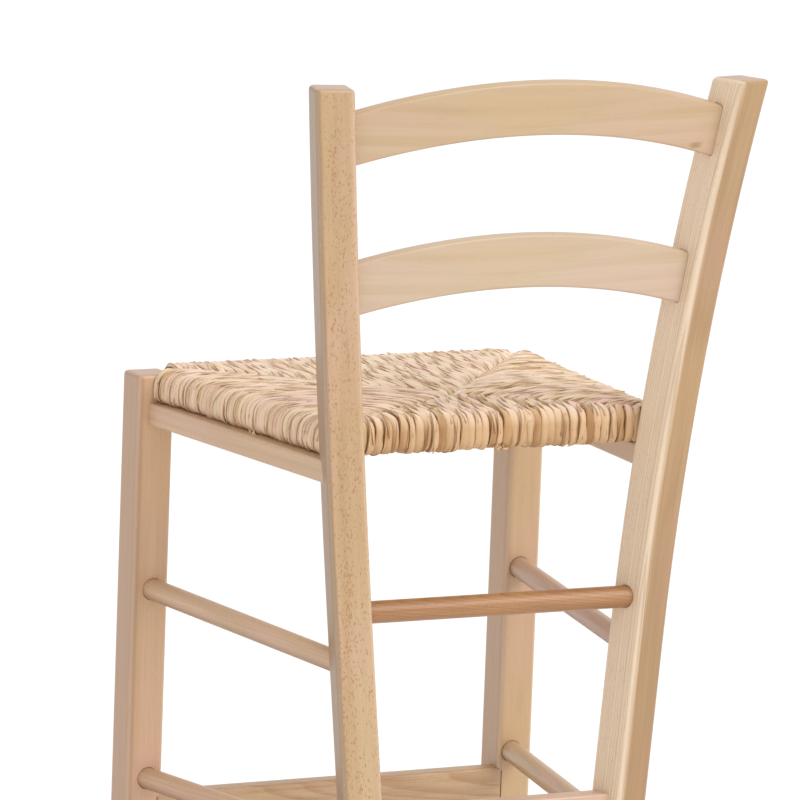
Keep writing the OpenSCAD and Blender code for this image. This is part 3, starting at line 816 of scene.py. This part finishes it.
# veins along the leaf, leaf rims drawn dark as painted shade where they tuck under one another, and the
# outer edge and underside of the seat drawn browner, partly weathered and partly as painted shade
colour = rush.mix(rush.ease(veins, 0.52, 0.70) * 0.50, colour, (0.50, 0.31, 0.155))
colour = rush.mix((1 - rush.ease(veins, 0.26, 0.46)) * 0.34, colour, (0.93, 0.81, 0.67))
# the leaves' rims are drawn dark: painted shade where they tuck under one another
leaf_rim_shade = rush.ease(across.sum("ABSOLUTE", across), 0.66, 1.0)
colour = rush.mix(leaf_rim_shade * 0.48, colour, (0.36, 0.20, 0.085))
colour = rush.mix(side * 0.78, colour, rush.mix(tint, (0.62, 0.37, 0.165), (0.37, 0.185, 0.07)))
rush.set(Base_Color=colour, Roughness=0.52 + veins * 0.2, Specular_IOR_Level=0.4, Coat_Weight=0.05,
         Coat_Roughness=0.4)
rush.bump(veins + leaf_rim_shade * 0.4, 0.5, 0.0006)


def panel(node, seed, rows, rise, shade, edge_shade_and_age, tie=None):
    """Weaves one panel. rows are (inner end, outer end, way out, pitch) of each strand, shade is how dark the
    leaves are, the next how much browner the edge and underside are drawn, partly weathered and partly as
    painted shade, and tie where one strand's end is tucked in."""
    dice = random.Random(seed)
    weave = Weave(edge_shade_and_age)
    for inner, outer, out, pitch in rows:
        inner = inner + Vector((dice.uniform(-0.0006, 0.0006), dice.uniform(-0.0006, 0.0006), 0))
        outer = outer + Vector((-out.y, out.x, 0)) * dice.uniform(-0.0007, 0.0007)
        weave.strand(inner, outer, out, pitch * dice.uniform(0.90, 1.14), rise, dice, shade)
    if tie:
        out = rows[0][2]
        weave.tie(tie, Vector((-out.y, out.x, 0)), out, dice)
    weave.made(node, rush)


# the mitres run from the seat's corners to one meeting point, a little to the right of the middle
meeting = Vector((-0.012, leg_y + 0.209, 0))
front_count, back_count = 25, 20
rows = []
for sign in (1, -1):
    corner = Vector((sign * front_half, side_start, 0))
    for i in range(front_count):
        part = (i + 0.5) / front_count
        rows.append((corner.lerp(meeting, part), Vector((sign * front_half * (1 - part), front_edge, 0)),
                     Vector((0, -1, 0)), front_half / front_count))
panel("rush_front", 11, rows, rise=(0.0016, 0.001), shade=0.27, edge_shade_and_age=0.6)
rows = []
for sign in (1, -1):
    corner = Vector((sign * mitre_x, mitre_y, 0))
    for i in range(back_count):
        part = (i + 0.5) / back_count
        rows.append((corner.lerp(meeting, part), Vector((sign * back_half * (1 - part), back_edge, 0)),
                     Vector((0, 1, 0)), back_half / back_count))
panel("rush_back", 23, rows, rise=(0.0010, 0.001), shade=0.30, edge_shade_and_age=1.0,
      tie=Vector((-0.007, back_edge - 0.0024, seat_low_z + 0.0035)))
for name, sign, seed, rise in (("left", 1, 37, (0.0016, 0.0035)), ("right", -1, 51, (0.0030, -0.0008))):
    rows = []
    count = front_count + back_count
    pitch = (side_stop - side_start) / count
    for i in range(count):
        y = side_start + (side_stop - side_start) * (i + 0.5) / count
        edge = side_half + (side_back_x - side_half) * (y - side_start) / (side_stop - side_start)
        edge += 0.005 * math.exp(-(y - side_start) / 0.030)
        if i < front_count:
            inner = Vector((sign * front_half, side_start, 0)).lerp(meeting, (i + 0.5) / front_count)
        else:
            part = 1 - (i - front_count + 0.5) / back_count
            inner = Vector((sign * mitre_x, mitre_y, 0)).lerp(meeting, part)
        rows.append((inner, Vector((sign * edge, y, 0)), Vector((sign, 0, 0)), pitch))
    tie = Vector((0.1743, 0.001, seat_low_z + 0.0022)) if name == "left" else None
    panel("rush_" + name, seed, rows, rise, shade=0.28, edge_shade_and_age=0.35, tie=tie)


# ---- Seat screws ----
# Zinc-plated steel screws up through the side rails, which hold the loose seat down.
zinc = Finish("zinc-plated steel")
spot = zinc.node("ShaderNodeTexCoord", {}, {}, "Object")
grains = zinc.noise(zinc.scaled(spot, 1600, 1600, 1600), 2.0)
zinc.set(Base_Color=zinc.mix(grains, (0.52, 0.53, 0.55), (0.70, 0.71, 0.72)), Metallic=1.0,
         Roughness=0.3 + grains * 0.18)
zinc.bump(grains, 0.15, 0.0002)
coat("seat_screws", zinc)


# ---- Studio ----
# A plain white floor and sky, with one broad soft lamp high behind the chair and to its right.
# The camera stands behind the chair's left side, a little above the seat.
bpy.ops.object.select_all(action="DESELECT")
bpy.ops.mesh.primitive_plane_add(size=160, location=(0, 0, 0))
ground = bpy.context.object
ground.name = "floor"
paper = Finish("white floor")
spot = paper.node("ShaderNodeTexCoord", {}, {}, "Object")
white = paper.mix(paper.noise(spot, 1.0) * 0.02, (0.93, 0.93, 0.93), (0.90, 0.90, 0.90))
paper.set(Base_Color=white, Roughness=0.9, Specular_IOR_Level=0.1)
ground.data.materials.append(paper.material)

world = bpy.data.worlds.new("studio")
bpy.context.scene.world = world
world.use_nodes = True
world.node_tree.nodes["Background"].inputs["Color"].default_value = (1, 1, 1, 1)
world.node_tree.nodes["Background"].inputs["Strength"].default_value = 0.88

bpy.ops.object.light_add(type="SUN", location=(-1.2, 2.6, 3.0))
lamp = bpy.context.object
lamp.name = lamp.data.name = "soft lamp"
lamp.data.energy, lamp.data.angle = 1.35, math.radians(38)
lamp.rotation_euler = Vector((-0.36, 0.66, 0.66)).to_track_quat("Z", "Y").to_euler()

yaw, pitch, roll = math.radians(152.998), math.radians(9.582), math.radians(2.164)
back = Vector((math.sin(yaw) * math.cos(pitch), -math.cos(yaw) * math.cos(pitch), math.sin(pitch)))
bpy.ops.object.camera_add(location=(2.63669, 5.30346 + leg_y, 0.96739 + seat_height))
camera = bpy.context.object
camera.name = camera.data.name = "camera"
camera.rotation_mode = "QUATERNION"
camera.rotation_quaternion = back.to_track_quat("Z", "Y") @ Quaternion((0, 0, 1), roll)
camera.data.sensor_width, camera.data.lens, camera.data.clip_end = 36, 291.4569, 200
scene = bpy.context.scene
scene.camera = camera
scene.view_settings.view_transform = "Standard"
